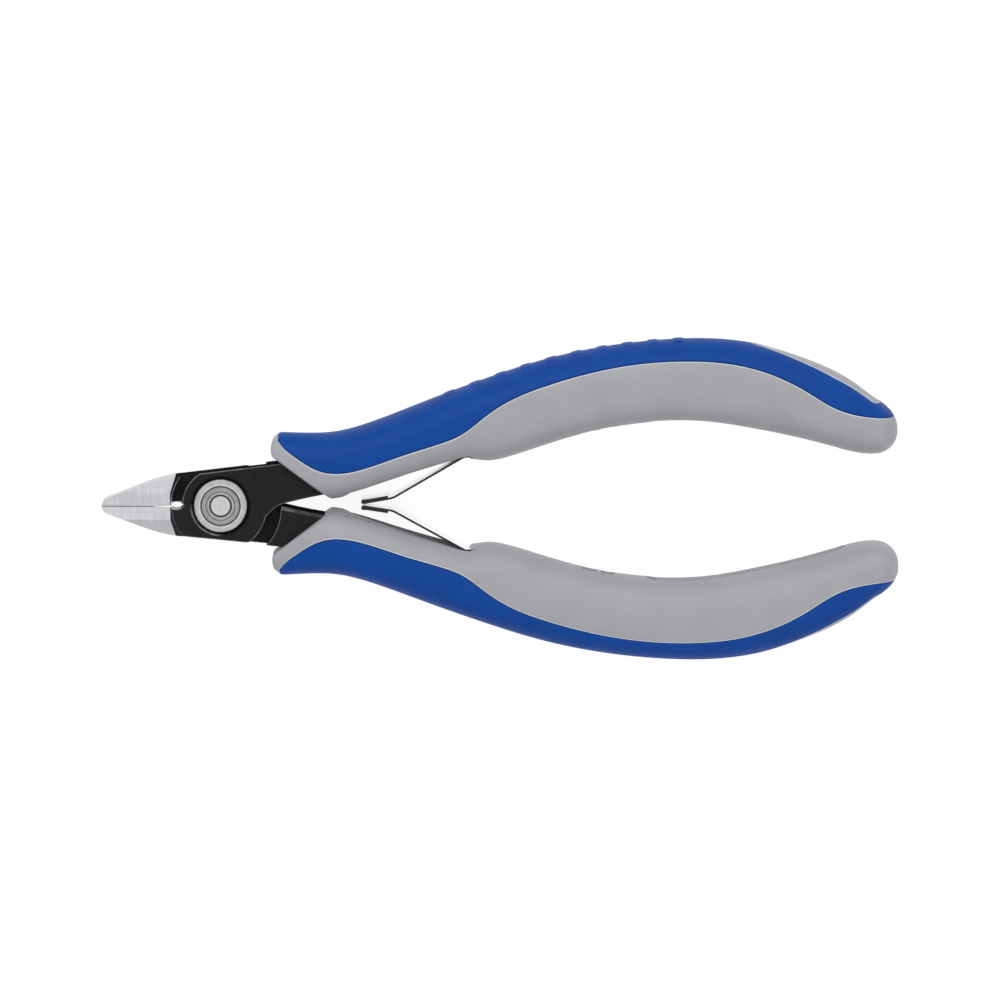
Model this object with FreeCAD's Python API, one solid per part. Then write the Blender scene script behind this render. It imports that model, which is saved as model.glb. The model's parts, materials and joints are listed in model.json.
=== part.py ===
"""Small diagonal cutting pliers: a bolted lap joint, two-component grips and a two-leaf opening spring.

The pliers lie flat and closed. +X runs from the jaws to the ends of the handles and +Z is the axis of the
joint. Everything is drawn about the pivot, and the last step moves it so that the origin is the middle of
the underside. The front half carries the lower jaw (-Y) and the upper handle (+Y). The rear half is the same
half turned over about X, except for its jaw, which is the mirror image of the other one.
"""
import FreeCAD, Part
import math
import os

from FreeCAD import Vector

# All lengths are in millimetres, about the pivot.

# Overall
TIP_X = -18.7                       # jaw tips
TAIL_X = 106.3                      # ends of the handles: 125 overall

# Joint
HALF_JOINT = 2.9                    # each arm is this thick at the joint
PLATE_GAP = 0.01                    # each arm stays this far off the plane between them
PLATE_R_JAW = 6.05                  # round edge of a joint plate beside the other arm's jaw
PLATE_R_HANDLE = 7.3                # round edge of a joint plate beside the other arm's tang
POCKET_R_JAW = 7.74                 # where a jaw goes to full thickness
POCKET_R_HANDLE = 9.5               # where a tang goes to full thickness
CROTCH = (9.75, 0.22)               # where the inner edge of a tang meets the joint
EDGE_CHAMFER = 0.15
TANG_EDGE_BEVEL = 0.55              # broad bevel along the inner edge of a tang, on the outer face
JOINT_FACE_AREA = 40.0              # the flat face of a joint plate is larger than this, in mm2

# Bodies that only cut or bound others
THROUGH = 10.0                      # reaches right through the thickness, from either side
FAR = 40.0                          # well outside the pliers

# Bolt and nut
SHANK_R = 2.75
SHANK_CLEARANCE = 0.03              # running fit of the rear arm on the shank
HEAD_R = 4.1
HEAD_THICKNESS = 1.2
HEAD_CLEARANCE = 0.1                # round the head, which stays with the front arm
HEAD_SINK = 0.05                    # the head ends just under the back face
HEAD_CHAMFER = 0.2
DRIVER_SLOT = (1.1, 0.5)            # width and depth
STUB_R = 1.575                      # threaded end of the bolt, drawn plain
STUB_CHAMFER = 0.12
STUB_SINK = 0.08                    # the stub ends just under the nut's rim
STUB_ROOT = 0.5                     # overlap of the stub with the shank
NUT_R = 4.135
NUT_SEAT_Z = 1.4
NUT_TOP_Z = 2.98
NUT_CHAMFER = 0.12                  # at its seat
NUT_FACE = [(NUT_R, 0.14), (3.995, 0.0), (3.16, 0.0), (3.08, 0.16), (2.98, 0.16), (2.9, 0.05), (2.2, 0.05),
            (2.1, 0.16), (1.82, 0.16), (1.76, 0.45),
            (STUB_R, 0.45)]         # rim, groove, ring and countersink: radius and depth below the rim
NUT_RECESS_R = 4.5
NUT_RECESS_CHAMFER = 0.28

# Jaws
FACET_START_X = -7.9                # the ground faces start here
FACET_SLOPE = 0.155                 # fall of a ground face towards the tip
BEVEL_START_Y = 2.1                 # line between the inner and the outer ground facet
BEVEL_SLOPE = 0.05                  # extra fall of the outer facet, per millimetre of width
EDGE_DEPTH = 0.25                   # cutting edge below the ground face
RELIEF_DEG = 22.0                   # hollow behind each cutting edge
EDGE_GAP = 0.015                    # half of the gap between the closed edges
SLIT_GAP = 0.13                     # half of the slit behind the edges
SLIT_START_X = -10.4
JAW_END_X = -3.0                    # the full-thickness jaw is found on this side

# Grips: the edges of one grip in plan and its half thickness, each a smooth curve through a few points
OUTER_EDGE = [(2, 11.3), (9, 11.2), (14, 11.0), (18, 11.15), (24, 12.7), (32, 15.7), (40, 18.65),
              (50, 21.9), (60, 24.05), (70, 25.12), (76, 25.24), (84, 24.35), (92, 21.9), (100, 17.75),
              (104, 14.85), (TAIL_X, 13.85)]
INNER_EDGE = [(2, 0.6), (14, 0.6), (18, 0.8), (24, 2.4), (30, 4.36), (36, 6.1), (39, 6.75), (42, 6.5),
              (45, 7.0), (52, 9.2), (60, 11.25), (68, 12.28), (76, 12.2), (84, 10.95), (92, 9.2),
              (98, 7.6), (102, 6.95), (TAIL_X, 7.65)]
THICKNESS = [(2, 3.6), (9, 4.0), (12, 4.5), (16, 5.4), (22, 6.0), (30, 6.15), (45, 5.8), (60, 5.6),
             (75, 5.75), (90, 6.1), (98, 6.2), (104, 6.0), (TAIL_X, 5.6)]
TAIL_ROUND_X = 103.0                # the end of the grip is rounded off from here
TAIL_LAST = 0.995                   # the rounding stops at this share of its length, as a small flat
TAIL_POWER = 2.4                    # and the rounding is a superellipse too
SECTION_POWER = 2.5                 # a grip's section is a superellipse
SECTION_POINTS = 24
GRIP_STATIONS = [4, 9, 13, 17, 21, 25, 30, 35, 38, 40, 42, 44, 47, 52, 58, 64, 70, 76, 82, 88, 94, 99, 103.0]
TAIL_STATIONS = 6
NOSE_OUTLINE = [(8.0, 11.3), (8.0, 7.85), (16.9, 1.23), (18.6, -1.0)]   # front end of a grip in plan
NOSE_TOP_X = 10.6                   # the outer edge of the grip takes over from here
NOSE_CORNER_R = [2.4, 1.3]          # its outer and its inner corner
COLLAR_X = (9.72, 16.35)            # an arm meets the front of its grip between these

# Soft cover over the back of a grip
COVER_THICKNESS = 1.3
SEAM = [(9.25, 10.0), (11, 8.3), (13, 6.9), (15, 5.8), (17, 5.25), (19, 5.2), (22, 5.75), (29, 8.05),
        (35, 9.9), (38, 11.2), (42, 14.2), (45, 16.1), (51, 18.55), (59, 20.75), (67, 22.0), (73, 22.25),
        (81, 21.6), (87, 19.85), (92, 17.3), (96, 14.85), (100, 13.5), (105.9, 12.9)]
BACK_ZONE = [(83.3, 0.3), (85, 1.35), (89, 2.55), (95, 3.5), (99, 3.85), (102.5, 3.4),
             (103.7, 1.0)]          # half width of the tongue that the core shows on its back

# Steel tang inside a grip
TANG_START = (10.8, 4.3)
TANG_STATIONS = [20, 28, 38, 50, 62, 74, 86, 95]
TANG_HALF_WIDTH = [2.9, 1.7]        # at the collar and at its end
TANG_HALF_THICKNESS = 2.3

# Recesses on the inner side of a grip: start, end, half width, depth
CHANNEL = (18.9, 39.6, 3.5, 1.2)
NOTCHES = [(56.5, 58.9, 1.8, 0.8), (59.6, 61.6, 1.8, 0.8)]
LONG_SLOT = (66.7, 97.8, 2.2, 1.5)
FOOT_SLOT = [(39.2, 7.08), (45.2, 7.08), (45.2, 8.95), (39.2, 7.95)]
RECESS_ROUNDING = 0.6               # corner radius as a share of the smaller of half width and depth

# Opening spring: centre line of the upper leaf
SPRING_ROOT = (38.5, 7.4)
SPRING_TIP = (22.4, 0.38)
SPRING_LINE = [(44.0, 7.42), SPRING_ROOT, (27.2, 1.05), SPRING_TIP]
SPRING_HALF_WIDTH = 3.25
LEAF_THICKNESS = 0.4
HEM_THICKNESS = 0.24                # second layer folded back over the last stretch
HEM_SHARE = 0.9                     # how much of the last stretch it covers
TIP_EYE_R = 0.3                     # round fold at the tip


def vector(point, z=0.0):
    """A plan point as a vector."""
    return Vector(point[0], point[1], z)


def smooth_curve(points):
    """Smooth curve through plan points."""
    curve = Part.BSplineCurve()
    curve.interpolate([vector(p) for p in points])
    return curve


def value_at(points):
    """Function giving y at x on the smooth curve through the points."""
    edge = smooth_curve(points).toShape()
    x_first = points[0][0]
    x_last = points[-1][0]

    def value(x):
        x = min(max(x, x_first + 1e-6), x_last - 1e-6)
        cut = Part.makeLine(Vector(x, -FAR, 0), Vector(x, FAR, 0))
        return edge.distToShape(cut)[1][0][0].y

    return value


outer_edge = value_at(OUTER_EDGE)
inner_edge = value_at(INNER_EDGE)
half_thickness = value_at(THICKNESS)


def prism(edges, z_low, z_high):
    """Solid between two heights over a closed outline."""
    wire = Part.Wire(Part.__sortEdges__(edges))
    face = Part.Face(wire)
    face.translate(Vector(0, 0, z_low))
    return face.extrude(Vector(0, 0, z_high - z_low))


def polygon_prism(points, z_low, z_high):
    """Prism over a polygon."""
    loop = [vector(p) for p in points + points[:1]]
    return prism([Part.makeLine(a, b) for a, b in zip(loop, loop[1:])], z_low, z_high)


def plane_cut(origin, normal):
    """Large box standing on the plane, on the side the normal points to."""
    size = 300.0
    box = Part.makeBox(size, size, size, Vector(-size / 2, -size / 2, 0))
    box.Placement = FreeCAD.Placement(origin, FreeCAD.Rotation(Vector(0, 0, 1), normal))
    return box


def turned(shape):
    """The shape turned over about the X axis."""
    copy = shape.copy()
    copy.rotate(Vector(0, 0, 0), Vector(1, 0, 0), 180)
    return copy


def mirrored(shape):
    """The shape's mirror image across the plane y = 0."""
    return shape.mirror(Vector(0, 0, 0), Vector(0, 1, 0))


def arc_point(radius, degrees):
    """Point on a circle about the pivot."""
    angle = math.radians(degrees)
    return (radius * math.cos(angle), radius * math.sin(angle))


def arc(radius, start_deg, end_deg):
    """Arc about the pivot."""
    ends = [arc_point(radius, a) for a in (start_deg, (start_deg + end_deg) / 2, end_deg)]
    return Part.Arc(*[vector(p) for p in ends]).toShape()


def line(a, b):
    """Straight edge between two plan points."""
    return Part.makeLine(vector(a), vector(b))


def spline(points):
    """Smooth edge through plan points."""
    return smooth_curve(points).toShape()


def nose_line_y(x):
    """Height of the slanted front face of a grip at x."""
    corner, foot = NOSE_OUTLINE[1:3]
    share = (x - corner[0]) / (foot[0] - corner[0])
    return corner[1] + share * (foot[1] - corner[1])


def arm_outline():
    """Edges of the front arm in plan, from the lower jaw to the collar of the upper grip."""
    tip = (TIP_X, -EDGE_GAP)
    slit_left = (SLIT_START_X, -EDGE_GAP)
    slit_right = (FACET_START_X, -SLIT_GAP)
    notch_bottom = (-6.6, -0.36)
    notch_end = (-5.8, 0.08)
    plate_top_deg = 122.2
    plate_start_deg = 173.0
    collar_top, collar_bottom = [(x, nose_line_y(x)) for x in COLLAR_X]
    handle_arc_start_deg = -14.0
    handle_arc_end_deg = -51.5
    bottom_right = (3.4, -5.75)
    jaw_root = (-7.0, -4.62)
    return [
        line(tip, slit_left),
        line(slit_left, slit_right),
        spline([slit_right, notch_bottom, notch_end]),
        spline([notch_end, (-5.88, 0.4), arc_point(PLATE_R_JAW, plate_start_deg)]),
        arc(PLATE_R_JAW, plate_start_deg, plate_top_deg),
        line(arc_point(PLATE_R_JAW, plate_top_deg), collar_top),
        line(collar_top, collar_bottom),
        spline([collar_bottom, (13.0, 1.0), CROTCH]),
        spline([CROTCH, (9.0, -0.1), (8.1, -0.75), arc_point(PLATE_R_HANDLE, handle_arc_start_deg)]),
        arc(PLATE_R_HANDLE, handle_arc_start_deg, handle_arc_end_deg),
        spline([arc_point(PLATE_R_HANDLE, handle_arc_end_deg), (4.1, -5.8), bottom_right]),
        line(bottom_right, jaw_root),
        spline([jaw_root, (-8.5, -4.36), (-13.2, -2.94), (-17.9, -1.22)]),
        spline([(-17.9, -1.22), (-18.5, -0.72), tip]),
    ]


def disc(radius, z_low, z_high):
    """Cylinder about the pivot."""
    return Part.makeCylinder(radius, z_high - z_low, Vector(0, 0, z_low))


def half_space_x(x, side):
    """Box filling everything to one side of x: -1 is the jaw side and +1 is the handle side."""
    size = 200.0
    start = x if side > 0 else x - size
    return Part.makeBox(size, size, size, Vector(start, -size / 2, -size / 2))


def joint_pocket():
    """Space of the other arm's plate: below the parting plane, inside the two step circles."""
    jaw_side = disc(POCKET_R_JAW, -2 * HALF_JOINT, PLATE_GAP).common(half_space_x(0, -1))
    handle_side = disc(POCKET_R_HANDLE, -2 * HALF_JOINT, PLATE_GAP).common(half_space_x(0, 1))
    return jaw_side.fuse(handle_side)


def jaw_cutters():
    """Bodies that grind the lower jaw: two front facets, the back facet and the hollow behind the edge."""
    start = Vector(FACET_START_X, 0, HALF_JOINT)
    front = plane_cut(start, Vector(-FACET_SLOPE, 0, 1))
    bevel_start = Vector(FACET_START_X, -BEVEL_START_Y, HALF_JOINT)
    bevel = plane_cut(bevel_start, Vector(-FACET_SLOPE, -BEVEL_SLOPE, 1))
    back = plane_cut(Vector(FACET_START_X, 0, -HALF_JOINT), Vector(-FACET_SLOPE, 0, -1))

    length = 30.0
    drop = 12.0
    slope = math.tan(math.radians(RELIEF_DEG))
    edge_z = HALF_JOINT - EDGE_DEPTH
    left_x = FACET_START_X - length
    left_z = edge_z - FACET_SLOPE * length
    corners = [Vector(left_x, 1, left_z), Vector(left_x, -EDGE_GAP, left_z),
               Vector(left_x, -drop * slope, left_z - drop), Vector(left_x, 1, left_z - drop)]
    relief_face = Part.Face(Part.makePolygon(corners + corners[:1]))
    run = length + 5.0
    relief = relief_face.extrude(Vector(run, 0, FACET_SLOPE * run))
    return [front, bevel, back, relief]


def lower_jaw(outline):
    """Full-thickness jaw of the front arm, ground to shape."""
    jaw = outline.cut(disc(POCKET_R_JAW, -THROUGH, THROUGH))
    jaw = jaw.common(half_space_x(JAW_END_X, -1))
    jaw = largest_below(jaw)
    for cutter in jaw_cutters():
        jaw = jaw.cut(cutter)
    return jaw


def largest_below(shape):
    """The solid of a compound that lies furthest down."""
    return min(shape.Solids, key=lambda s: s.CenterOfMass.y)


def chamfer_face_edges(shape, z, size):
    """Chamfer the outline of the flat face at height z."""
    for face in shape.Faces:
        if abs(face.CenterOfMass.z - z) < 1e-4 and face.Area > JOINT_FACE_AREA:
            return shape.makeChamfer(size, face.OuterWire.Edges)
    raise ValueError("no joint face found")


def tang_edge_bevel():
    """Wedge that bevels the tang's inner edge on the rear face, from the crotch to the collar."""
    foot = (COLLAR_X[1], nose_line_y(COLLAR_X[1]))
    run = vector(foot) - vector(CROTCH)
    outward = Vector(run.y, -run.x, 0).normalize()
    origin = vector(CROTCH, -HALF_JOINT) - outward * TANG_EDGE_BEVEL
    wedge = plane_cut(origin, outward + Vector(0, 0, -1))
    return wedge.common(half_space_x(CROTCH[0] - 0.5, 1))


def bare_arm():
    """Plate and tang root of the front arm, without its jaw."""
    outline = prism(arm_outline(), -HALF_JOINT, HALF_JOINT)
    body = outline.cut(joint_pocket()).cut(tang_edge_bevel())
    ring = disc(POCKET_R_JAW, -THROUGH, PLATE_GAP)
    beyond = outline.cut(disc(POCKET_R_JAW, -THROUGH, THROUGH))
    jaw_zone = beyond.common(half_space_x(JAW_END_X, -1))
    return body.cut(jaw_zone).cut(ring.common(half_space_x(0, -1))), outline


def tang():
    """Bar of the arm inside the grip, along the middle of the grip."""
    middle = [TANG_START] + [(x, (outer_edge(x) + inner_edge(x)) / 2) for x in TANG_STATIONS]
    centre = smooth_curve(middle)
    sides = ([], [])
    for index, point in enumerate(middle):
        share = index / (len(middle) - 1)
        half_width = TANG_HALF_WIDTH[0] + share * (TANG_HALF_WIDTH[1] - TANG_HALF_WIDTH[0])
        direction = centre.tangent(centre.parameter(vector(point)))[0]
        normal = Vector(-direction.y, direction.x, 0)
        for side, sign in zip(sides, (1, -1)):
            place = vector(point) + normal * half_width * sign
            side.append((place.x, place.y))
    end_direction = centre.tangent(centre.LastParameter)[0]
    end = vector(middle[-1]) + end_direction * TANG_HALF_WIDTH[1]
    cap = Part.Arc(vector(sides[0][-1]), end, vector(sides[1][-1])).toShape()
    edges = [spline(sides[0]), cap, spline(sides[1]), line(sides[0][0], sides[1][0])]
    return prism(edges, -TANG_HALF_THICKNESS, TANG_HALF_THICKNESS)


def nut_recess():
    """Counterbore for the nut in the front face, with its chamfer."""
    bore = disc(NUT_RECESS_R, NUT_SEAT_Z, HALF_JOINT + 1)
    cone_r = NUT_RECESS_R + NUT_RECESS_CHAMFER
    cone_base = Vector(0, 0, HALF_JOINT - NUT_RECESS_CHAMFER)
    cone = Part.makeCone(NUT_RECESS_R, cone_r, NUT_RECESS_CHAMFER, cone_base)
    return bore.fuse(cone)


def make_arms():
    """Both arms with jaws, bores and tangs."""
    plate, outline = bare_arm()
    plate = chamfer_face_edges(plate, HALF_JOINT, EDGE_CHAMFER)
    bar = tang()
    jaw = lower_jaw(outline)
    front = plate.fuse([jaw, bar]).cut(nut_recess())
    front = front.cut(disc(SHANK_R, -THROUGH, THROUGH))

    head_room = disc(HEAD_R + HEAD_CLEARANCE, -THROUGH, HEAD_THICKNESS + HEAD_SINK - HALF_JOINT)
    bore = disc(SHANK_R + SHANK_CLEARANCE, -THROUGH, THROUGH)
    rear = turned(plate).fuse([mirrored(jaw), turned(bar)]).cut(head_room).cut(bore)
    return front.removeSplitter(), rear.removeSplitter()


def chamfered_disc(radius, z_low, z_high, rim_z, size):
    """Cylinder about the pivot with a chamfer round one of its ends."""
    shape = disc(radius, z_low, z_high)
    rim = [e for e in shape.Edges if abs(e.CenterOfMass.z - rim_z) < 1e-6 and len(e.Vertexes) == 1]
    return shape.makeChamfer(size, rim)


def make_bolt():
    """Shouldered bolt: rear head, shank and the stub that the nut takes."""
    head_z = HEAD_SINK - HALF_JOINT
    head = chamfered_disc(HEAD_R, head_z, head_z + HEAD_THICKNESS, head_z, HEAD_CHAMFER)
    shank = disc(SHANK_R, head_z, NUT_SEAT_Z)
    stub_top = NUT_TOP_Z - STUB_SINK
    stub = chamfered_disc(STUB_R, NUT_SEAT_Z - STUB_ROOT, stub_top, stub_top, STUB_CHAMFER)
    width, depth = DRIVER_SLOT
    driver_slot = Part.makeBox(2 * HEAD_R, width, depth, Vector(-HEAD_R, -width / 2, head_z))
    return head.fuse([shank, stub]).cut(driver_slot).removeSplitter()


def make_nut():
    """Round turned nut: a wide rim, a groove, a second ring and a countersunk bore."""
    seat = [(STUB_R, NUT_SEAT_Z), (NUT_R - NUT_CHAMFER, NUT_SEAT_Z), (NUT_R, NUT_SEAT_Z + NUT_CHAMFER)]
    profile = seat + [(radius, NUT_TOP_Z - depth) for radius, depth in NUT_FACE]
    points = [Vector(radius, 0, z) for radius, z in profile + profile[:1]]
    face = Part.Face(Part.makePolygon(points))
    return face.revolve(Vector(0, 0, 0), Vector(0, 0, 1), 360)


def tail_rounding(x):
    """Share of the full section that is left in the rounded end of a grip."""
    if x <= TAIL_ROUND_X:
        return 1.0
    along = (x - TAIL_ROUND_X) / (TAIL_X - TAIL_ROUND_X)
    return max(0.0, 1.0 - along ** TAIL_POWER) ** (1 / TAIL_POWER)


def grip_section(x, inset):
    """Closed superellipse wire of a grip at x, drawn inwards by the inset."""
    middle = (outer_edge(x) + inner_edge(x)) / 2
    share = tail_rounding(x)
    half_height = max((outer_edge(x) - inner_edge(x)) / 2 * share - inset, 0.05)
    half_depth = max(half_thickness(x) * share - inset, 0.05)
    points = []
    for index in range(SECTION_POINTS):
        angle = 2 * math.pi * index / SECTION_POINTS
        across = math.copysign(abs(math.cos(angle)) ** (2 / SECTION_POWER), math.cos(angle))
        up = math.copysign(abs(math.sin(angle)) ** (2 / SECTION_POWER), math.sin(angle))
        points.append(Vector(x, middle + half_height * across, half_depth * up))
    curve = Part.BSplineCurve()
    curve.interpolate(Points=points, PeriodicFlag=True)
    return Part.Wire(curve.toShape())


def grip_body(inset):
    """Upper grip as a loft through its sections, drawn inwards by the inset."""
    tail_length = (TAIL_X - TAIL_ROUND_X) * TAIL_LAST
    reach = [math.sin(math.pi / 2 * (step + 1) / TAIL_STATIONS) for step in range(TAIL_STATIONS)]
    stations = GRIP_STATIONS + [TAIL_ROUND_X + tail_length * share for share in reach]
    if inset > 0:
        stations = [x for x in GRIP_STATIONS if x < TAIL_ROUND_X - inset]
    return Part.makeLoft([grip_section(x, inset) for x in stations], True, False)


def upright_edges(shape, point):
    """Edges of a prism that stand on the plan point."""
    ends = [(e, [v.Point for v in e.Vertexes]) for e in shape.Edges]
    return [e for e, places in ends if all(math.dist((p.x, p.y), point) < 1e-6 for p in places)]


def nose_prism():
    """Everything behind the front end of a grip, with both its corners rounded."""
    top = NOSE_OUTLINE[0]
    below = NOSE_OUTLINE[-1]
    end_x = TAIL_X + 5.0
    rest = [(end_x, below[1]), (end_x, FAR), (NOSE_TOP_X, FAR), (NOSE_TOP_X, top[1])]
    shape = polygon_prism(NOSE_OUTLINE + rest, -THROUGH, THROUGH)
    for corner, radius in zip(NOSE_OUTLINE, NOSE_CORNER_R):
        shape = shape.makeFillet(radius, upright_edges(shape, corner))
    return shape


def seam_prism():
    """Everything on the back side of the seam between the hard core and the soft cover."""
    first = SEAM[0]
    last = SEAM[-1]
    far_first = (first[0], FAR)
    far_last = (last[0], FAR)
    edges = [spline(SEAM), line(last, far_last), line(far_last, far_first), line(far_first, first)]
    return prism(edges, -THROUGH, THROUGH)


def back_zone_prism():
    """Tongue of the hard core that shows on the back of a grip near its end."""
    upper = [Vector(x, 0, width) for x, width in BACK_ZONE]
    lower = [Vector(x, 0, -width) for x, width in BACK_ZONE]
    curves = []
    for points in (upper, lower):
        curve = Part.BSplineCurve()
        curve.interpolate(points)
        curves.append(curve.toShape())
    ends = [Part.makeLine(upper[0], lower[0]), Part.makeLine(upper[-1], lower[-1])]
    wire = Part.Wire(Part.__sortEdges__([curves[0], ends[1], curves[1], ends[0]]))
    return Part.Face(wire).extrude(Vector(0, FAR, 0))


def inner_recess(recess):
    """Recess that follows the inner side of a grip: start, end, half width and depth."""
    start, end, half_width, depth = recess
    count = 8
    stations = [start + (end - start) * i / (count - 1) for i in range(count)]
    floor = spline([(x, inner_edge(x) + depth) for x in stations])
    low = -2.0
    edges = [floor, line((end, inner_edge(end) + depth), (end, low)), line((end, low), (start, low)),
             line((start, low), (start, inner_edge(start) + depth))]
    band = prism(edges, -half_width, half_width)
    uprights = [e for e in band.Edges if len(e.Vertexes) == 2 and e.BoundBox.ZLength < 1e-6
                and e.BoundBox.XLength < 1e-6]
    return band.makeFillet(min(half_width, depth) * RECESS_ROUNDING, uprights)


def make_grip(bar):
    """Hard core and soft cover of the upper grip."""
    outer = grip_body(0.0).common(nose_prism())
    shell = outer.cut(grip_body(COVER_THICKNESS))
    cover = shell.common(seam_prism()).cut(back_zone_prism())
    cover = max(cover.Solids, key=lambda s: s.Volume)
    core = outer.cut(cover).cut(bar)
    for recess in [CHANNEL, LONG_SLOT] + NOTCHES:
        core = core.cut(inner_recess(recess))
    half_width = CHANNEL[2]
    core = core.cut(polygon_prism(FOOT_SLOT, -half_width, half_width))
    core = max(core.Solids, key=lambda s: s.Volume)
    return core, cover


def offset_line(points, distance):
    """Polyline moved sideways, with mitred corners."""
    moved = []
    for index, point in enumerate(points):
        directions = []
        for a, b in ((index - 1, index), (index, index + 1)):
            if a >= 0 and b < len(points):
                directions.append((vector(points[b]) - vector(points[a])).normalize())
        bisector = directions[0] + directions[-1]
        normal = Vector(-bisector.y, bisector.x, 0).normalize()
        straight = Vector(-directions[0].y, directions[0].x, 0)
        place = vector(point) + normal * (distance / normal.dot(straight))
        moved.append((place.x, place.y))
    return moved


def make_spring():
    """Upper leaf of the opening spring, its foot in the grip and its tip folded back on itself."""
    half = LEAF_THICKNESS / 2
    side_a = offset_line(SPRING_LINE, half)
    side_b = offset_line(SPRING_LINE, -half)
    leaf = polygon_prism(side_a + side_b[::-1], -SPRING_HALF_WIDTH, SPRING_HALF_WIDTH)
    kink = vector(SPRING_LINE[-2])
    tip = vector(SPRING_TIP)
    hem_start = tip + (kink - tip) * HEM_SHARE
    hem_line = [(hem_start.x, hem_start.y), SPRING_TIP]
    hem_a = offset_line(hem_line, -half)
    hem_b = offset_line(hem_line, -half - HEM_THICKNESS)
    hem = polygon_prism(hem_a + hem_b[::-1], -SPRING_HALF_WIDTH, SPRING_HALF_WIDTH)
    eye_start = tip - Vector(0, 0, SPRING_HALF_WIDTH)
    eye = Part.makeCylinder(TIP_EYE_R, 2 * SPRING_HALF_WIDTH, eye_start)
    return leaf.fuse([hem, eye]).removeSplitter()


def build():
    """All nodes by name, still about the pivot."""
    front_arm, rear_arm = make_arms()
    core, cover = make_grip(tang())
    spring = make_spring()
    return {
        "front_arm": front_arm,
        "rear_arm": rear_arm,
        "pivot_bolt": make_bolt(),
        "pivot_nut": make_nut(),
        "upper_grip_core": core,
        "upper_grip_cover": cover,
        "lower_grip_core": turned(core),
        "lower_grip_cover": turned(cover),
        "upper_spring": spring,
        "lower_spring": turned(spring),
    }


def write(nodes):
    """Move the model onto its origin and write one file per node."""
    os.makedirs("parts", exist_ok=True)
    box = Part.makeCompound(list(nodes.values())).optimalBoundingBox(False, False)
    shift = Vector(-(TIP_X + TAIL_X) / 2, 0, -box.ZMin)
    print("pivot at", shift.x, shift.y, shift.z)
    for name, shape in nodes.items():
        shape.translate(shift)
        bounds = shape.BoundBox
        print(f"{name}: solids {len(shape.Solids)} valid {shape.isValid()} volume {shape.Volume:.2f} "
              f"x {bounds.XMin:.2f}..{bounds.XMax:.2f} y {bounds.YMin:.2f}..{bounds.YMax:.2f} "
              f"z {bounds.ZMin:.2f}..{bounds.ZMax:.2f}")
        shape.exportStep(f"parts/{name}.step")


write(build())
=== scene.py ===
"""Looks of a pair of small diagonal cutting pliers, laid out as an add-on and run as a script.

The steel arms, the bolt and the nut keep their frame shapes and get their finishes here. The two-component
grips and the leaf springs are made here as fine meshes about the pivot, in millimetres, and stand for their
frame solids. The lower grip and the lower leaf are the upper ones turned over about X.
"""
import json
import math

import bmesh
import bpy
import numpy as np
from bpy.props import FloatProperty, FloatVectorProperty, IntProperty, PointerProperty
from mathutils import Matrix, Vector


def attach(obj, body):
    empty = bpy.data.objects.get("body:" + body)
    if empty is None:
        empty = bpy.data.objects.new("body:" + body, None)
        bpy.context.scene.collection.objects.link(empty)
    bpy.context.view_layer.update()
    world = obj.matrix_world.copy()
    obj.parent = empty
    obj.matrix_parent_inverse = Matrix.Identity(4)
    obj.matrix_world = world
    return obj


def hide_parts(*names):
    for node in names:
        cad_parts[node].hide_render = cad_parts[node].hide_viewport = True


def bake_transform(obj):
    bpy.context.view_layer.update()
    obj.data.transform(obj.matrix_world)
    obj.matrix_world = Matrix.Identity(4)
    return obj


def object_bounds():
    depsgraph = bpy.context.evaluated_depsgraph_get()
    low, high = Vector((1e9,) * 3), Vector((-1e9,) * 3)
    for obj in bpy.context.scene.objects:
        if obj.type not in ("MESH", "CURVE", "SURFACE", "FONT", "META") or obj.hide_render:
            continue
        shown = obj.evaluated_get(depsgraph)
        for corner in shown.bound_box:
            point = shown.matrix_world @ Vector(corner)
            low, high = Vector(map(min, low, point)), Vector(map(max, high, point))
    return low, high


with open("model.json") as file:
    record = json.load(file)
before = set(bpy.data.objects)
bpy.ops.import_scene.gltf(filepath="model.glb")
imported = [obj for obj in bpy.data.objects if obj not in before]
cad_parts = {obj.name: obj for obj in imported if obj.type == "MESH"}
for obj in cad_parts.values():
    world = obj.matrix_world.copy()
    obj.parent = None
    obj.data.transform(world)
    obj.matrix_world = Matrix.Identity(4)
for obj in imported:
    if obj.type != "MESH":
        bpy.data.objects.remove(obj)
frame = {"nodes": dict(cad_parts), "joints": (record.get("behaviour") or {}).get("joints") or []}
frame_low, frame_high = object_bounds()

bl_info = {
    "name": "Diagonal cutters",
    "version": (1, 0, 0),
    "blender": (4, 5, 0),
    "location": "View3D > Sidebar > Cutters",
    "description": "Finishes, grips and springs of a pair of small diagonal cutting pliers",
    "category": "Object",
}

MM = 0.001
SIDES = (("upper", "front_half", False), ("lower", "rear_half", True))  # name, body, turned over or not
PIVOT = Vector(next(joint for joint in frame["joints"] if joint["name"] == "pivot")["pos_m"])

# Grip outlines in millimetres about the pivot, for the upper grip
OUTER_EDGE = [(2, 11.3), (9, 11.2), (14, 11.0), (18, 11.15), (24, 12.7), (32, 15.7), (40, 18.65), (50, 21.9),
              (60, 24.05), (70, 25.12), (76, 25.24), (84, 24.35), (92, 21.9), (100, 17.75), (104, 14.85),
              (106.3, 13.85)]
INNER_EDGE = [(2, 0.6), (14, 0.6), (18, 0.8), (24, 2.4), (30, 4.36), (36, 6.1), (39, 6.75), (42, 6.5),
              (45, 7.0), (52, 9.2), (60, 11.25), (68, 12.28), (76, 12.2), (84, 10.95), (92, 9.2),
              (98, 7.6), (102, 6.95), (106.3, 7.65)]
THICKNESS = [(2, 3.6), (9, 4.0), (12, 4.5), (16, 5.4), (22, 6.0), (30, 6.15), (45, 5.8), (60, 5.6),
             (75, 5.75), (90, 6.1), (98, 6.2), (104, 6.0), (106.3, 5.6)]
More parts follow.
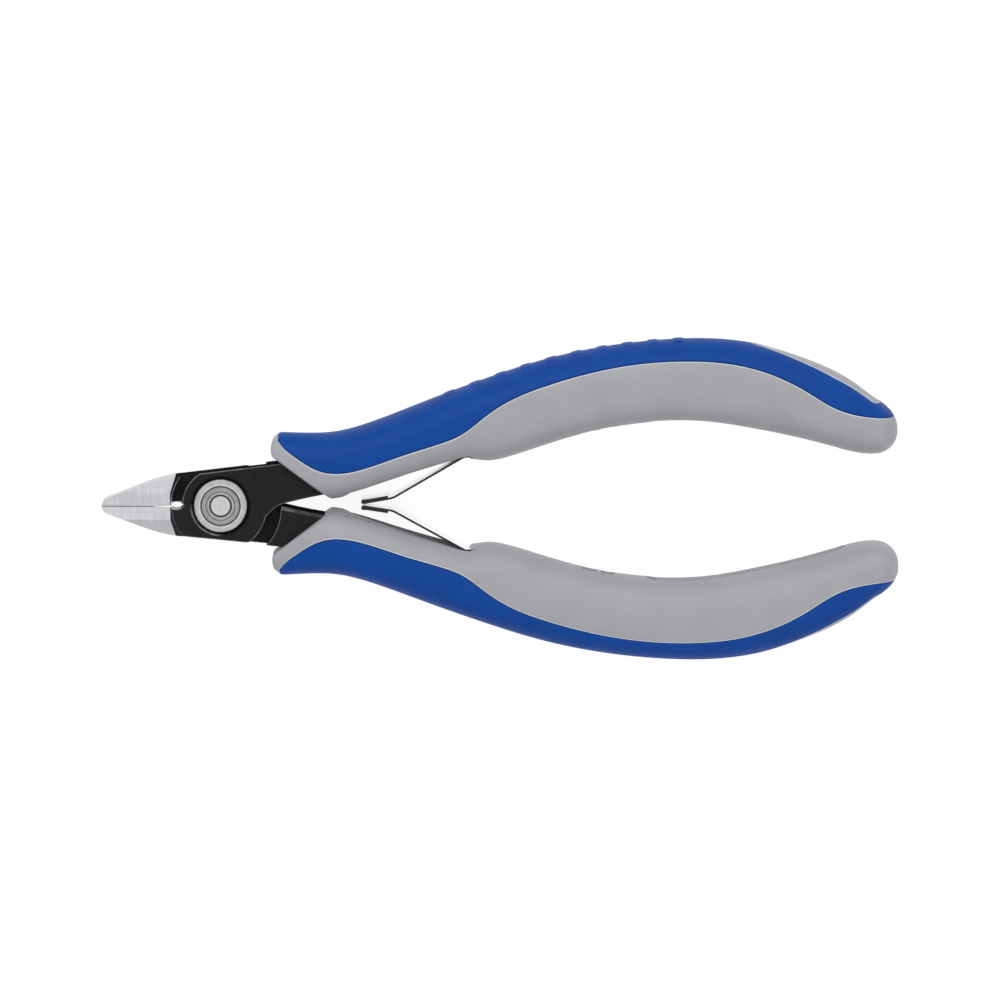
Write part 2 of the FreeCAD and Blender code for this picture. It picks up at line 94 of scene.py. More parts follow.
SEAM = [(9.15, 10.2), (9.8, 9.35), (11, 8.3), (13, 6.9), (15, 5.8), (17, 5.25), (19, 5.2), (22, 5.75),
        (29, 8.05), (35, 9.9), (38, 11.2), (42, 14.2), (45, 16.1), (51, 18.55), (59, 20.75), (67, 22.0),
        (73, 22.25), (81, 21.6), (87, 19.85), (92, 17.3), (96, 14.85), (100, 13.5), (105.9, 12.9)]
TAIL_ROUND_X = 103.0
TAIL_X = 106.3
TAIL_POWER = 2.4
SECTION_POWER = 2.5

# Front end of a grip: an upright edge, a rounded corner and a slanted face
NOSE_X = 8.0
NOSE_CORNER_Y = 7.85
NOSE_SLOPE = 0.744
NOSE_CORNER_R = 1.3
NOSE_END_X = 17.4
NOSE_LIP_FADE_X = 16.2              # the lip runs out from here to the end
NOSE_TOP_Y = 11.3                   # the corner above the upright edge has a large round
NOSE_TOP_R = 2.4
EDGE_ANGLE = math.radians(140)      # lower limit of the front face's edge round a section

# Arms: the steps to full thickness, the ground faces and the slit
POCKET_R_JAW = 7.74
POCKET_R_TANG = 9.5
STEP_EDGE = 0.13                    # width of the worn edge of either step, which carries a painted highlight too
GROUND_X = -7.9
GROUND_SLANT = 0.326                # slant of the ground zone's edge outside the inner facets
BEVEL_START_Y = 2.1
EDGE_END_X = -10.4                  # the cutting edges touch from the tips to here
SLIT_END_X = -6.2                   # the bright walls of the slit behind them end here
SLIT_HALF_WIDTH = 0.5
SLIT_TOP_Z = 2.85
NUT_EDGE_R = 4.95                   # the nut's recess and its chamfer lie inside this radius
TANG_START_X = 10.2
TANG_FADE = 2.0                     # the worn oxide and the painted highlight on the tangs fade over this length

# Soft cover and the tongue of the core on its back
COVER_START_X = 9.15
COVER_END_X = 105.75
TONGUE_START_X = 83.3
TONGUE_END_X = 103.7
TONGUE_RATE = 1.06                  # half width over the root of the distance from its tip
TONGUE_MAX = 3.85
TONGUE_ROUND = 1.6                  # length of its rounded end
TONGUE_GAP = 0.07                   # round the tongue
TONGUE_RIM = 0.1
TONGUE_RIM_FADE = 0.12
TONGUE_FOOT = 0.1                   # the tongue reaches this far below its bed
RIB_SPAN = (35.0, 74.0)
RIB_HALF_WIDTH = 2.7
RIB_END = 0.5                       # length over which a rib runs out
RIB_SHARE = 0.5                     # part of the pitch that a rib takes up
RIB_SLOPE = 0.12                    # part of the pitch that either flank takes up

# Recesses on the inner side: start, end, half width, depth at either end, length of the rounded ends
CHANNEL = (18.9, 39.9, 3.5, 0.5, 1.2, 0.0)
NOTCHES = [(56.5, 58.9, 1.8, 0.8, 0.8, 0.3), (59.6, 61.6, 1.8, 0.8, 0.8, 0.3)]
LONG_SLOT = (66.7, 97.8, 2.2, 1.0, 1.6, 1.8)
CHANNEL_START_RAMP = 2.5            # the channel deepens over this length
CHANNEL_END_RAMP = (1.6, 0.5)       # and runs out between these distances from its end
SLOT_APPROACH = 12.0                # the mesh lines close in this far before the long slot
RECESS_ROUND = 0.18
RECESS_MARGIN = 0.3
RECESS_MAX_SHARE = 0.65             # widest recess as a share of the half thickness
BED_CLEARANCE = 0.04                # under the cover

# Dark rings on the nut and on the bolt's end, painted shade in the gap round the bolt's end and in the nut's
# recessed rings: inner and outer radius, darkness
NUT_SHADE_RINGS = [(0.0, 1.84, 1.0), (2.96, 3.1, 0.85), (2.04, 2.12, 0.6), (2.26, 2.36, 0.5), (2.12, 2.96, 0.4),
               (3.55, 3.62, 0.25)]
BOLT_SHADE_RINGS = [(1.545, 2.0, 0.9)]

# Opening spring: corners of the upper leaf's middle line and the radius at each
SPRING_ROOT = (38.3, 7.4)
SPRING_LINE = [(43.5, 7.42, 0), (38.3, 7.4, 0.7), (27.0, 1.0, 3.0), (22.45, 0.27, 0)]
CURL_R = 0.21
CURL_DEG = 215
HEM_SETBACK = 0.7                   # the folded layer lands and ends this far from the tip and the bend
HEM_GAP_SHARE = 1.02                # its distance from the first layer, in thicknesses
FLEX_START_SHARE = 0.15             # a flex start this share of that length back from the root is worked out but not used
FLEX_END_SHARE = 0.55               # a flex end at this share of the way from the root to the kink is worked out but not used

# Stage, in metres
VIEW_OFFSET = (0.00003, 0.00015, 0.0)   # the camera aims this far from the middle of the pliers
KEY_PLACE = (-0.15, 0.75, 0.9)      # lights, from the same middle
FILL_PLACE = (0.5, -0.7, 0.8)
FLOOR_GAP = 0.00002                 # the floor lies this far under the grips


# ---------------------------------------------------------------- sizes and colours a user may change

class CutterGrips(bpy.types.PropertyGroup):
    """Sizes and colours of the two-component grips."""
    cover_thickness: FloatProperty(name="Cover thickness", description="Thickness of the soft cover",
                                   default=0.0008, unit="LENGTH", precision=5)
    cover_rise: FloatProperty(name="Cover rise", description="How far the cover stands above the core",
                              default=0.00006, unit="LENGTH", precision=5)
    edge_radius: FloatProperty(name="Cover edge", description="Rounding of the cover's edge",
                               default=0.00024, unit="LENGTH", precision=5)
    seam_gap: FloatProperty(name="Seam gap", description="Half of the gap between cover and core",
                            default=0.00005, unit="LENGTH", precision=5)
    lip_radius: FloatProperty(name="Lip", description="Rounding at the front end of a grip",
                              default=0.00045, unit="LENGTH", precision=5)
    rib_height: FloatProperty(name="Rib height", description="Height of the ribs on the upper grip's back",
                              default=0.00016, unit="LENGTH", precision=5)
    rib_pitch: FloatProperty(name="Rib pitch", description="Distance from rib to rib", default=0.004,
                             unit="LENGTH", precision=5)
    row_pitch: FloatProperty(name="Row pitch", description="Length of a mesh cell along a grip",
                             default=0.00028, unit="LENGTH", precision=5)
    hard_colour: FloatVectorProperty(name="Core", description="Colour of the hard core", subtype="COLOR",
                                     size=3, default=(0.285, 0.286, 0.305))
    # painted highlight: a pale line along the core's rounded edge at the seam
    seam_highlight_colour: FloatVectorProperty(name="Core rim", description="Paler rim of the core along the seam",
                                    subtype="COLOR", size=3, default=(0.5, 0.55, 0.61))
    soft_colour: FloatVectorProperty(name="Cover", description="Colour of the soft cover", subtype="COLOR",
                                     size=3, default=(0.002, 0.044, 0.235))


class CutterSteel(bpy.types.PropertyGroup):
    """Colours of the steel parts."""
    oxide_colour: FloatVectorProperty(name="Oxide", description="Blackened steel", subtype="COLOR", size=3,
                                      default=(0.009, 0.009, 0.0098))
    # painted highlight and worn oxide: the lighter gray on the arms' chamfers and step edges
    worn_and_highlight_colour: FloatVectorProperty(name="Worn edge", description="Edges where the oxide is worn",
                                     subtype="COLOR", size=3, default=(0.15, 0.15, 0.155))
    ground_colour: FloatVectorProperty(name="Ground", description="Ground jaw faces", subtype="COLOR",
                                       size=3, default=(0.66, 0.65, 0.68))
    turned_colour: FloatVectorProperty(name="Turned", description="Turned nut and bolt", subtype="COLOR",
                                       size=3, default=(0.62, 0.605, 0.6))
    spring_colour: FloatVectorProperty(name="Spring", description="Rolled face of the springs",
                                       subtype="COLOR", size=3, default=(0.92, 0.92, 0.94))
    # painted dark reflection: the near-black colour of the springs' narrow edges
    painted_dark_edge_colour: FloatVectorProperty(name="Spring edge", description="Sheared edge of the springs",
                                        subtype="COLOR", size=3, default=(0.008, 0.008, 0.009))


class CutterSprings(bpy.types.PropertyGroup):
    """Sizes of the leaf springs."""
    strip_thickness: FloatProperty(name="Thickness", description="Thickness of the strip", default=0.00033,
                                   unit="LENGTH", precision=5)
    strip_width: FloatProperty(name="Width", description="Width of the strip", default=0.0065,
                               unit="LENGTH", precision=5)
    edge_break: FloatProperty(name="Edge break", description="Bevel along the strip", default=0.00004,
                              unit="LENGTH", precision=5)
    curve_steps: IntProperty(name="Curve steps", description="Points on each bend", default=12)


class CutterStage(bpy.types.PropertyGroup):
    """Camera, light and floor."""
    tilt: FloatProperty(name="Tilt", description="Camera leaning towards the upper handle",
                        default=math.radians(6.5), subtype="ANGLE")
    roll: FloatProperty(name="Roll", description="Turn of the camera about its own axis",
                        default=math.radians(0.62), subtype="ANGLE")
    view_width: FloatProperty(name="View width", description="Width seen at the pliers", default=0.15704,
                              unit="LENGTH", precision=5)
    distance: FloatProperty(name="Distance", description="Camera to pliers", default=1.6, unit="LENGTH")
    floor_colour: FloatVectorProperty(name="Floor", description="Plain pale floor", subtype="COLOR", size=3,
                                      default=(0.14, 0.14, 0.14))
    floor_glow: FloatProperty(name="Floor glow", description="Even light given off by the lit floor",
                              default=0.91)
    world_light: FloatProperty(name="World light", description="Strength of the even light", default=0.75)
    key_light: FloatProperty(name="Key light", description="Power of the large soft light", default=9.0,
                             unit="POWER")
    fill_light: FloatProperty(name="Fill light", description="Power of the weaker side light", default=3.0,
                              unit="POWER")


# ---------------------------------------------------------------- shader maths

class Value:
    """One output of a material's node, which adds Math nodes when it is used in a sum."""

    def __init__(self, finish, socket):
        self.finish = finish
        self.socket = socket

    def sum_with(self, operation, first, second):
        """Math node on two numbers or values."""
        return self.finish.add("ShaderNodeMath", {"operation": operation}, {0: first, 1: second})

    def __add__(self, other):
        return self.sum_with("ADD", self, other)

    def __sub__(self, other):
        return self.sum_with("SUBTRACT", self, other)

    def __mul__(self, other):
        return self.sum_with("MULTIPLY", self, other)

    def __truediv__(self, other):
        return self.sum_with("DIVIDE", self, other)

    def __rsub__(self, other):
        return self.sum_with("SUBTRACT", other, self)

    def __abs__(self):
        return self.sum_with("ABSOLUTE", self, 0.0)

    def band(self, low, high):
        """1 between low and high, with soft ends."""
        soft = (high - low) * 0.15
        return self.over(low - soft, low + soft) * (1.0 - self.over(high - soft, high + soft))

    def most(self, other):
        """The greater of two values."""
        return self.sum_with("MAXIMUM", self, other)

    def power(self, exponent):
        """The value raised to a power."""
        return self.sum_with("POWER", self, exponent)

    def hypotenuse(self, other):
        """Length of the vector made of two values."""
        return (self * self + other * other).power(0.5)

    def over(self, low, high):
        """0 below low, 1 above high and a smooth step between."""
        settings = {"interpolation_type": "SMOOTHSTEP"}
        return self.finish.add("ShaderNodeMapRange", settings, {0: self, 1: low, 2: high})

    __radd__ = __add__
    __rmul__ = __mul__


class Finish:
    """A material that is put together from nodes."""

    def __init__(self, name):
        self.material = bpy.data.materials.new(name)
        self.material.use_nodes = True
        self.nodes = self.material.node_tree.nodes
        self.links = self.material.node_tree.links
        self.shader = self.nodes["Principled BSDF"]
        self.place = self.add("ShaderNodeTexCoord", {}, {}, "Object")

    def add(self, kind, settings, values, output=0):
        """A node of one kind: its settings first, then the numbers or links of its sockets."""
        node = self.nodes.new(kind)
        for name, setting in settings.items():
            setattr(node, name, setting)
        for key, value in values.items():
            self.feed(node.inputs[key], value)
        return Value(self, node.outputs[output])

    def feed(self, socket, value):
        """Link or set one socket."""
        if isinstance(value, Value):
            self.links.new(value.socket, socket)
        elif socket.type == "RGBA" and len(value) == 3:
            socket.default_value = (*value, 1.0)
        else:
            socket.default_value = value

    def axes(self):
        """The three coordinates about the pivot, in millimetres."""
        centred = self.add("ShaderNodeVectorMath", {"operation": "SUBTRACT"}, {0: self.place, 1: PIVOT})
        scaled = self.add("ShaderNodeVectorMath", {"operation": "SCALE"}, {0: centred, "Scale": 1 / MM})
        return [self.add("ShaderNodeSeparateXYZ", {}, {0: scaled}, axis) for axis in "XYZ"]

    def noise(self, size, detail=2.0, stretch=(1.0, 1.0, 1.0)):
        """Noise whose grain has this size in metres, drawn out along the axes."""
        spread = [1 / (size * share) for share in stretch]
        vector = self.add("ShaderNodeVectorMath", {"operation": "MULTIPLY"}, {0: self.place, 1: spread})
        return self.add("ShaderNodeTexNoise", {}, {"Vector": vector, "Scale": 1.0, "Detail": detail}, "Fac")

    def mix(self, factor, first, second):
        """Blend of two colours."""
        return self.add("ShaderNodeMix", {"data_type": "RGBA"}, {0: factor, 6: first, 7: second}, 2)

    def bump(self, height, depth, below=None):
        """Normal bent by a height, with its depth in metres."""
        values = {"Height": height, "Distance": depth, "Strength": 1.0}
        if below is not None:
            values["Normal"] = below
        return self.add("ShaderNodeBump", {}, values)

    def set(self, **sockets):
        """Set or link the main shader's sockets, named with underscores for spaces."""
        for name, value in sockets.items():
            self.feed(self.shader.inputs[name.replace("_", " ")], value)
        return self.material


def scaled(colour, share):
    """The colour made lighter or darker."""
    return tuple(channel * share for channel in colour)


# ---------------------------------------------------------------- finishes

def ground_zone(x, y, z):
    """Where the steel is ground bright: the front of the jaws and the walls of their slit."""
    beyond = (abs(y) - BEVEL_START_Y).most(0.0)
    front = (GROUND_X - (x - beyond * GROUND_SLANT)).over(-0.03, 0.03)
    beside = (SLIT_HALF_WIDTH - abs(y)).over(0.0, 0.02)
    inside = (SLIT_END_X - x).over(0.0, 0.02) * (SLIT_TOP_Z - z).over(0.0, 0.02)
    return front.most(beside * inside)


def worn_and_highlight_edges(finish, x, y, z, upright, flat):
    """Where the oxide is worn and edge highlights are painted: the chamfers, and the edges of the steps to
    full thickness; beside the nut only the lower-left part of the chamfer, a painted highlight.
    """
    radius = x.hypotenuse(y)
    jaw_side = (y * z).over(0.0, 0.1) * x.over(0.1, 0.0)
    jaw_step = radius.band(POCKET_R_JAW, POCKET_R_JAW + STEP_EDGE) * jaw_side
    tang_side = (y * z).over(0.1, 0.0) * x.over(0.0, 0.1)
    tang_step = radius.band(POCKET_R_TANG, POCKET_R_TANG + STEP_EDGE) * tang_side
    beside_nut = 1.0 - radius.over(NUT_EDGE_R, NUT_EDGE_R + 0.05)
    # painted highlight: beside the nut only the lower-left crescent of the chamfer is light, the side the
    # light falls on
    highlight_lower_left = ((x + y) / radius).over(-0.85, -1.3)
    chamfer = upright.band(0.55, 0.9) * (1.0 - beside_nut * (1.0 - highlight_lower_left))
    patchiness = finish.noise(0.0013, 3.0).over(0.2, 0.7) * 0.6 + 0.4
    # the painted highlight and the worn oxide on the tangs fade away from the crotch
    tang_fade = 1.0 - x.over(TANG_START_X, TANG_START_X + TANG_FADE) * 0.6
    return (chamfer + (jaw_step + tang_step) * flat * 0.8) * patchiness * tang_fade


def arm_steel(steel):
    """Blackened steel, ground bright on the jaws and worn to gray on its edges, with painted highlights
    along those edges.
    """
    finish = Finish("arm_steel")
    x, y, z = finish.axes()
    turn = finish.add("ShaderNodeTexCoord", {}, {}, "Normal")
    upright = abs(finish.add("ShaderNodeSeparateXYZ", {}, {0: turn}, "Z"))
    flat = upright.over(0.9, 0.97)
    ground = ground_zone(x, y, z)

    grinding = finish.noise(0.00011, 3.0, (1.0, 40.0, 40.0))
    cross = finish.noise(0.00016, 2.0, (30.0, 1.0, 30.0))
    cloud = finish.noise(0.004, 3.0)
    # painted light: the lower jaw's ground face is made lighter and the upper jaw's darker, as the light
    # falls on them
    painted_light_lower_jaw = y.over(0.02, -0.02)
    tone = (grinding * 0.5 + cross * 0.25 + cloud * 0.25).over(0.3, 0.7) + painted_light_lower_jaw * 0.3 - 0.15
    bright = finish.mix(tone, scaled(steel.ground_colour, 0.84), scaled(steel.ground_colour, 1.12))
    outer_facet = (-BEVEL_START_Y - y).over(-0.03, 0.03)
    shaded = outer_facet * 0.5 + (1.0 - upright.over(0.2, 0.4)) * 0.4
    bright = finish.mix(shaded, bright, scaled(steel.ground_colour, 0.6))
    # painted shade: a dark line on the ground faces along the gap where the two cutting edges meet
    painted_gap_shade = (0.085 - abs(y)).over(0.0, 0.03) * (EDGE_END_X - x).over(0.0, 0.1)
    bright = finish.mix(painted_gap_shade * 0.8, bright, steel.oxide_colour)

    grain = finish.noise(0.00009, 3.0)
    mottle = (grain * 0.6 + finish.noise(0.0016, 4.0) * 0.4).over(0.3, 0.75)
    dark = finish.mix(mottle, scaled(steel.oxide_colour, 0.7), scaled(steel.oxide_colour, 1.6))
    # the lighter gray edges: worn oxide with painted highlights
    dark = finish.mix(worn_and_highlight_edges(finish, x, y, z, upright, flat), dark, steel.worn_and_highlight_colour)

    roughness = ground * (grinding * 0.14 + 0.3) + (1.0 - ground) * (grain * 0.16 + 0.4)
    oxide_bump = finish.bump(grain * (1.0 - ground), 0.00001)
    normal = finish.bump((grinding * 0.7 + cross * 0.3) * ground, 0.0000035, oxide_bump)
    return finish.set(Base_Color=finish.mix(ground, dark, bright), Roughness=roughness,
                      Metallic=ground * 0.92, Normal=normal, Specular_IOR_Level=0.0,
                      Coat_Weight=flat * (1.0 - ground) * 0.22, Coat_Roughness=0.35)


def turned_steel(name, steel, lighter, contrast, shade_rings):
    """Steel turned on a lathe: fine rings about the joint's axis, and dark ones painted as shade in the gap
    round the bolt's end and in the nut's recessed rings.
    """
    finish = Finish(name)
    x, y, z = finish.axes()
    radius = x.hypotenuse(y)
    ring_place = finish.add("ShaderNodeCombineXYZ", {}, {0: radius * 5.0, 1: z * 0.4})
    rings = finish.add("ShaderNodeTexNoise", {}, {"Vector": ring_place, "Scale": 1.0, "Detail": 3.0}, "Fac")
    fine_place = finish.add("ShaderNodeCombineXYZ", {}, {0: radius * 22.0, 1: z * 3.0})
    fine = finish.add("ShaderNodeTexNoise", {}, {"Vector": fine_place, "Scale": 1.0, "Detail": 2.0}, "Fac")
    patches = finish.noise(0.0012, 3.0)
    tone = (rings * 0.55 + fine * 0.3 + patches * 0.15).over(0.38, 0.62)
    base = scaled(steel.turned_colour, lighter)
    colour = finish.mix(tone, scaled(base, 1 - 0.4 * contrast), scaled(base, 1 + 0.3 * contrast))
    # painted shade: dark rings where the gap and the recessed rings lie in shade
    for start, end, share in shade_rings:
        colour = finish.mix(radius.band(start, end) * share, colour, scaled(base, 0.03))
    normal = finish.bump(fine * 0.6 + rings * 0.4, 0.000006)
    return finish.set(Base_Color=colour, Roughness=fine * 0.16 + 0.26, Metallic=0.95, Normal=normal)


def hard_plastic(grips):
    """Satin hard plastic with a painted highlight along its rim at the seam."""
    finish = Finish("hard_plastic")
    grain = finish.noise(0.00014, 2.0)
    cloud = finish.noise(0.006, 3.0)
    # painted highlight along the seam, read from the vertices
    rim = finish.add("ShaderNodeAttribute", {"attribute_name": "seam_highlight"}, {}, "Fac")
    tone = (grain * 0.55 + cloud * 0.45).over(0.25, 0.75)
    body = finish.mix(tone, scaled(grips.hard_colour, 0.93), scaled(grips.hard_colour, 1.07))
    colour = finish.mix(rim, body, grips.seam_highlight_colour)
    return finish.set(Base_Color=colour, Roughness=grain * 0.14 + 0.4, Normal=finish.bump(grain, 0.000012),
                      Specular_IOR_Level=0.25)


def soft_plastic(grips):
    """Soft satin plastic with a fine sandy grain."""
    finish = Finish("soft_plastic")
    grain = finish.noise(0.00018, 2.0)
    cloud = finish.noise(0.005, 3.0)
    tone = (grain * 0.5 + cloud * 0.5).over(0.25, 0.75)
    colour = finish.mix(tone, scaled(grips.soft_colour, 0.88), scaled(grips.soft_colour, 1.14))
    return finish.set(Base_Color=colour, Roughness=grain * 0.16 + 0.44, Normal=finish.bump(grain, 0.000014),
                      Specular_IOR_Level=0.1)


def spring_face(steel):
    """Bright rolled strip with lines along its length."""
    finish = Finish("spring_face")
    lines = finish.noise(0.00012, 3.0, (30.0, 30.0, 1.0))
    cloud = finish.noise(0.0015, 2.0)
    tone = (lines * 0.6 + cloud * 0.4).over(0.3, 0.7)
    colour = finish.mix(tone, scaled(steel.spring_colour, 0.82), scaled(steel.spring_colour, 1.12))
    return finish.set(Base_Color=colour, Roughness=lines * 0.14 + 0.16, Metallic=1.0,
                      Normal=finish.bump(lines, 0.000002))


def spring_edge(steel):
    """Sheared edge of the strip, painted near black as the dark reflection of its narrow faces."""
    finish = Finish("spring_edge")
    lines = finish.noise(0.00008, 3.0, (12.0, 12.0, 1.0))
    # painted dark reflection on the narrow edges
    colour = finish.mix(lines.over(0.35, 0.8), steel.painted_dark_edge_colour, scaled(steel.painted_dark_edge_colour, 2.0))
    return finish.set(Base_Color=colour, Roughness=lines * 0.2 + 0.35, Metallic=0.3,
                      Normal=finish.bump(lines, 0.000004))


# ---------------------------------------------------------------- curves and sections of a grip

def curve_through(points):
    """Function giving the smooth curve through a few points, as a natural cubic spline."""
    xs, ys = np.array(points, float).T
    gaps = np.diff(xs)
    slopes = np.diff(ys) / gaps
    count = len(xs)
    system = np.eye(count)
    right = np.zeros(count)
    for i in range(1, count - 1):
        system[i, i - 1:i + 2] = gaps[i - 1], 2 * (gaps[i - 1] + gaps[i]), gaps[i]
        right[i] = 6 * (slopes[i] - slopes[i - 1])
    bend = np.linalg.solve(system, right)

    def value(x):
        x = min(max(x, xs[0]), xs[-1])
        i = min(max(int(np.searchsorted(xs, x)) - 1, 0), count - 2)
        a = (xs[i + 1] - x) / gaps[i]
        b = 1 - a
        curved = ((a ** 3 - a) * bend[i] + (b ** 3 - b) * bend[i + 1]) * gaps[i] ** 2 / 6
        return float(a * ys[i] + b * ys[i + 1] + curved)

    return value


outer_edge = curve_through(OUTER_EDGE)
inner_edge = curve_through(INNER_EDGE)
half_thickness = curve_through(THICKNESS)
seam_line = curve_through(SEAM)


def smooth_step(low, high, x):
    """0 below low, 1 above high and a smooth step between."""
    t = np.clip((x - low) / (high - low), 0.0, 1.0)
    return t * t * (3 - 2 * t)


def rounding(distance, radius):
    """How far a rounded edge has fallen at this distance from it."""
    if radius <= 0 or distance >= radius:
        return 0.0
    inside = radius - max(distance, 0.0)
    return radius - math.sqrt(radius * radius - inside * inside)


def nose_low(x):
    """Lowest y of the front end at x: the slanted face and its rounded corner."""
    along = math.hypot(1.0, NOSE_SLOPE)
    middle_x = NOSE_X + NOSE_CORNER_R
    middle_y = NOSE_CORNER_Y - NOSE_CORNER_R * NOSE_SLOPE + NOSE_CORNER_R * along
    if x < middle_x - NOSE_CORNER_R * NOSE_SLOPE / along:
        return middle_y - math.sqrt(max(NOSE_CORNER_R ** 2 - (x - middle_x) ** 2, 0.0))
    return NOSE_CORNER_Y - (x - NOSE_X) * NOSE_SLOPE


def nose_high(x):
    """Highest y of the front end at x, on the large round of its upper corner."""
    middle_x = NOSE_X + NOSE_TOP_R
    if x >= middle_x:
        return math.inf
    return NOSE_TOP_Y - NOSE_TOP_R + math.sqrt(max(NOSE_TOP_R ** 2 - (x - middle_x) ** 2, 0.0))


def tongue_half_width(x):
    """Half width of the core's tongue on the back of the cover."""
    if not TONGUE_START_X < x < TONGUE_END_X:
        return 0.0
    grown = min(TONGUE_RATE * math.sqrt(x - TONGUE_START_X), TONGUE_MAX)
    left = max((x - (TONGUE_END_X - TONGUE_ROUND)) / TONGUE_ROUND, 0.0)
    return grown * math.sqrt(1 - left * left)


def recess_at(x):
    """Half width and depth of the recess on the inner side at x."""
    for start, end, width, first_depth, last_depth, round_length in [CHANNEL, LONG_SLOT] + NOTCHES:
        if start < x < end:
            near = min(x - start, end - x)
            share = 1.0
            if round_length > 0 and near < round_length:
                share = math.sqrt(1 - (1 - near / round_length) ** 2)
            depth = first_depth + (last_depth - first_depth) * (x - start) / (end - start)
            if start == CHANNEL[0]:
                first, last = CHANNEL_END_RAMP
                depth *= smooth_step(start, start + CHANNEL_START_RAMP, x)
                depth *= 1 - smooth_step(end - first, end - last, x)
            return width * share, depth
    spread = smooth_step(CHANNEL[1], LONG_SLOT[0] - SLOT_APPROACH, x)
    return CHANNEL[2] + (LONG_SLOT[2] - CHANNEL[2]) * spread, 0.0


class Section:
    """Cross-section of the upper grip at x: a superellipse, whose angle is 0 on the back of the grip."""

    def __init__(self, x, shrink=0.0):
        share = 1.0
        if x > TAIL_ROUND_X:
            along = (x - TAIL_ROUND_X) / (TAIL_X - TAIL_ROUND_X)
            share = max(0.0, 1.0 - along ** TAIL_POWER) ** (1 / TAIL_POWER)
        self.x = x
        self.middle = (outer_edge(x) + inner_edge(x)) / 2
        self.height = max((outer_edge(x) - inner_edge(x)) / 2 * share - shrink, 0.02)
        self.depth = max(half_thickness(x) * share - shrink, 0.02)

    def points(self, angles, lifts=0.0):
        """Points (y, z) at these angles, lifted off the surface."""
        power = 2 / SECTION_POWER
        across = np.sign(np.cos(angles)) * np.abs(np.cos(angles)) ** power
        up = np.sign(np.sin(angles)) * np.abs(np.sin(angles)) ** power
        normal_y = np.sign(across) * np.abs(across) ** (SECTION_POWER - 1) / self.height
        normal_z = np.sign(up) * np.abs(up) ** (SECTION_POWER - 1) / self.depth
        length = np.hypot(normal_y, normal_z)
        return np.stack([self.middle + self.height * across + lifts * normal_y / length,
                         self.depth * up + lifts * normal_z / length], axis=-1)

    def angle_at_y(self, y):
        """Angle at which the surface has this y."""
        share = min(max((y - self.middle) / self.height, -1.0), 1.0)
        return math.acos(math.copysign(abs(share) ** (SECTION_POWER / 2), share))

    def angle_at_z(self, z):
        """Angle on the back half at which the surface has this z."""
        return math.asin(min(z / self.depth, 1.0) ** (SECTION_POWER / 2))

    def z_at_y(self, y):
        """Half thickness at this y."""
        share = min(abs(y - self.middle) / self.height, 1.0)
        return self.depth * (1 - share ** SECTION_POWER) ** (1 / SECTION_POWER)

    def turn(self, angle, distance):
        """Angle that this distance along the surface stands for."""
        angle = min(max(angle, 0.02), math.pi - 0.02)
        ends = self.points(np.array([angle - 0.005, angle + 0.005]))
        return distance * 0.01 / max(float(np.hypot(*(ends[1] - ends[0]))), 1e-6)


def seam_angle(section):
    """Angle of the seam between core and cover."""
    x = min(max(section.x, COVER_START_X), SEAM[-1][0])
    return max(section.angle_at_y(seam_line(x)), 0.03)


class HalfRing:
    """Points of half a cross-section, from the back to the inner side, each with the strength of the painted
    seam highlight.
    """

    def __init__(self):
        self.angles = []
        self.lifts = []
        self.highlights = []

    def put(self, angle, lift, highlight=0.0):
        """One point."""
        self.angles.append(angle)
        self.lifts.append(lift)
        self.highlights.append(highlight)

    def run(self, start, end, count, lift):
        """Evenly spaced points, both ends included."""
        for angle in np.linspace(start, end, count):
            self.put(angle, lift)


def rounded_wall(ring, section, angle, radius, top, bottom, side, highlight=0.0, steps=4):
    """Upright wall at the angle with a rounded top edge, drawn from the top down on side +1 and up on -1."""
    radius = max(min(radius, top - bottom), 0.0)
    arc = []
    for step in range(steps + 1):
        bend = math.pi / 2 * step / steps
        back = section.turn(angle, radius * (1 - math.sin(bend)))
        arc.append((angle - side * back, top - radius * (1 - math.cos(bend))))
    arc.append((angle, bottom))
    for place, lift in (arc if side > 0 else arc[::-1]):
        ring.put(place, lift, highlight if lift > bottom else 0.0)


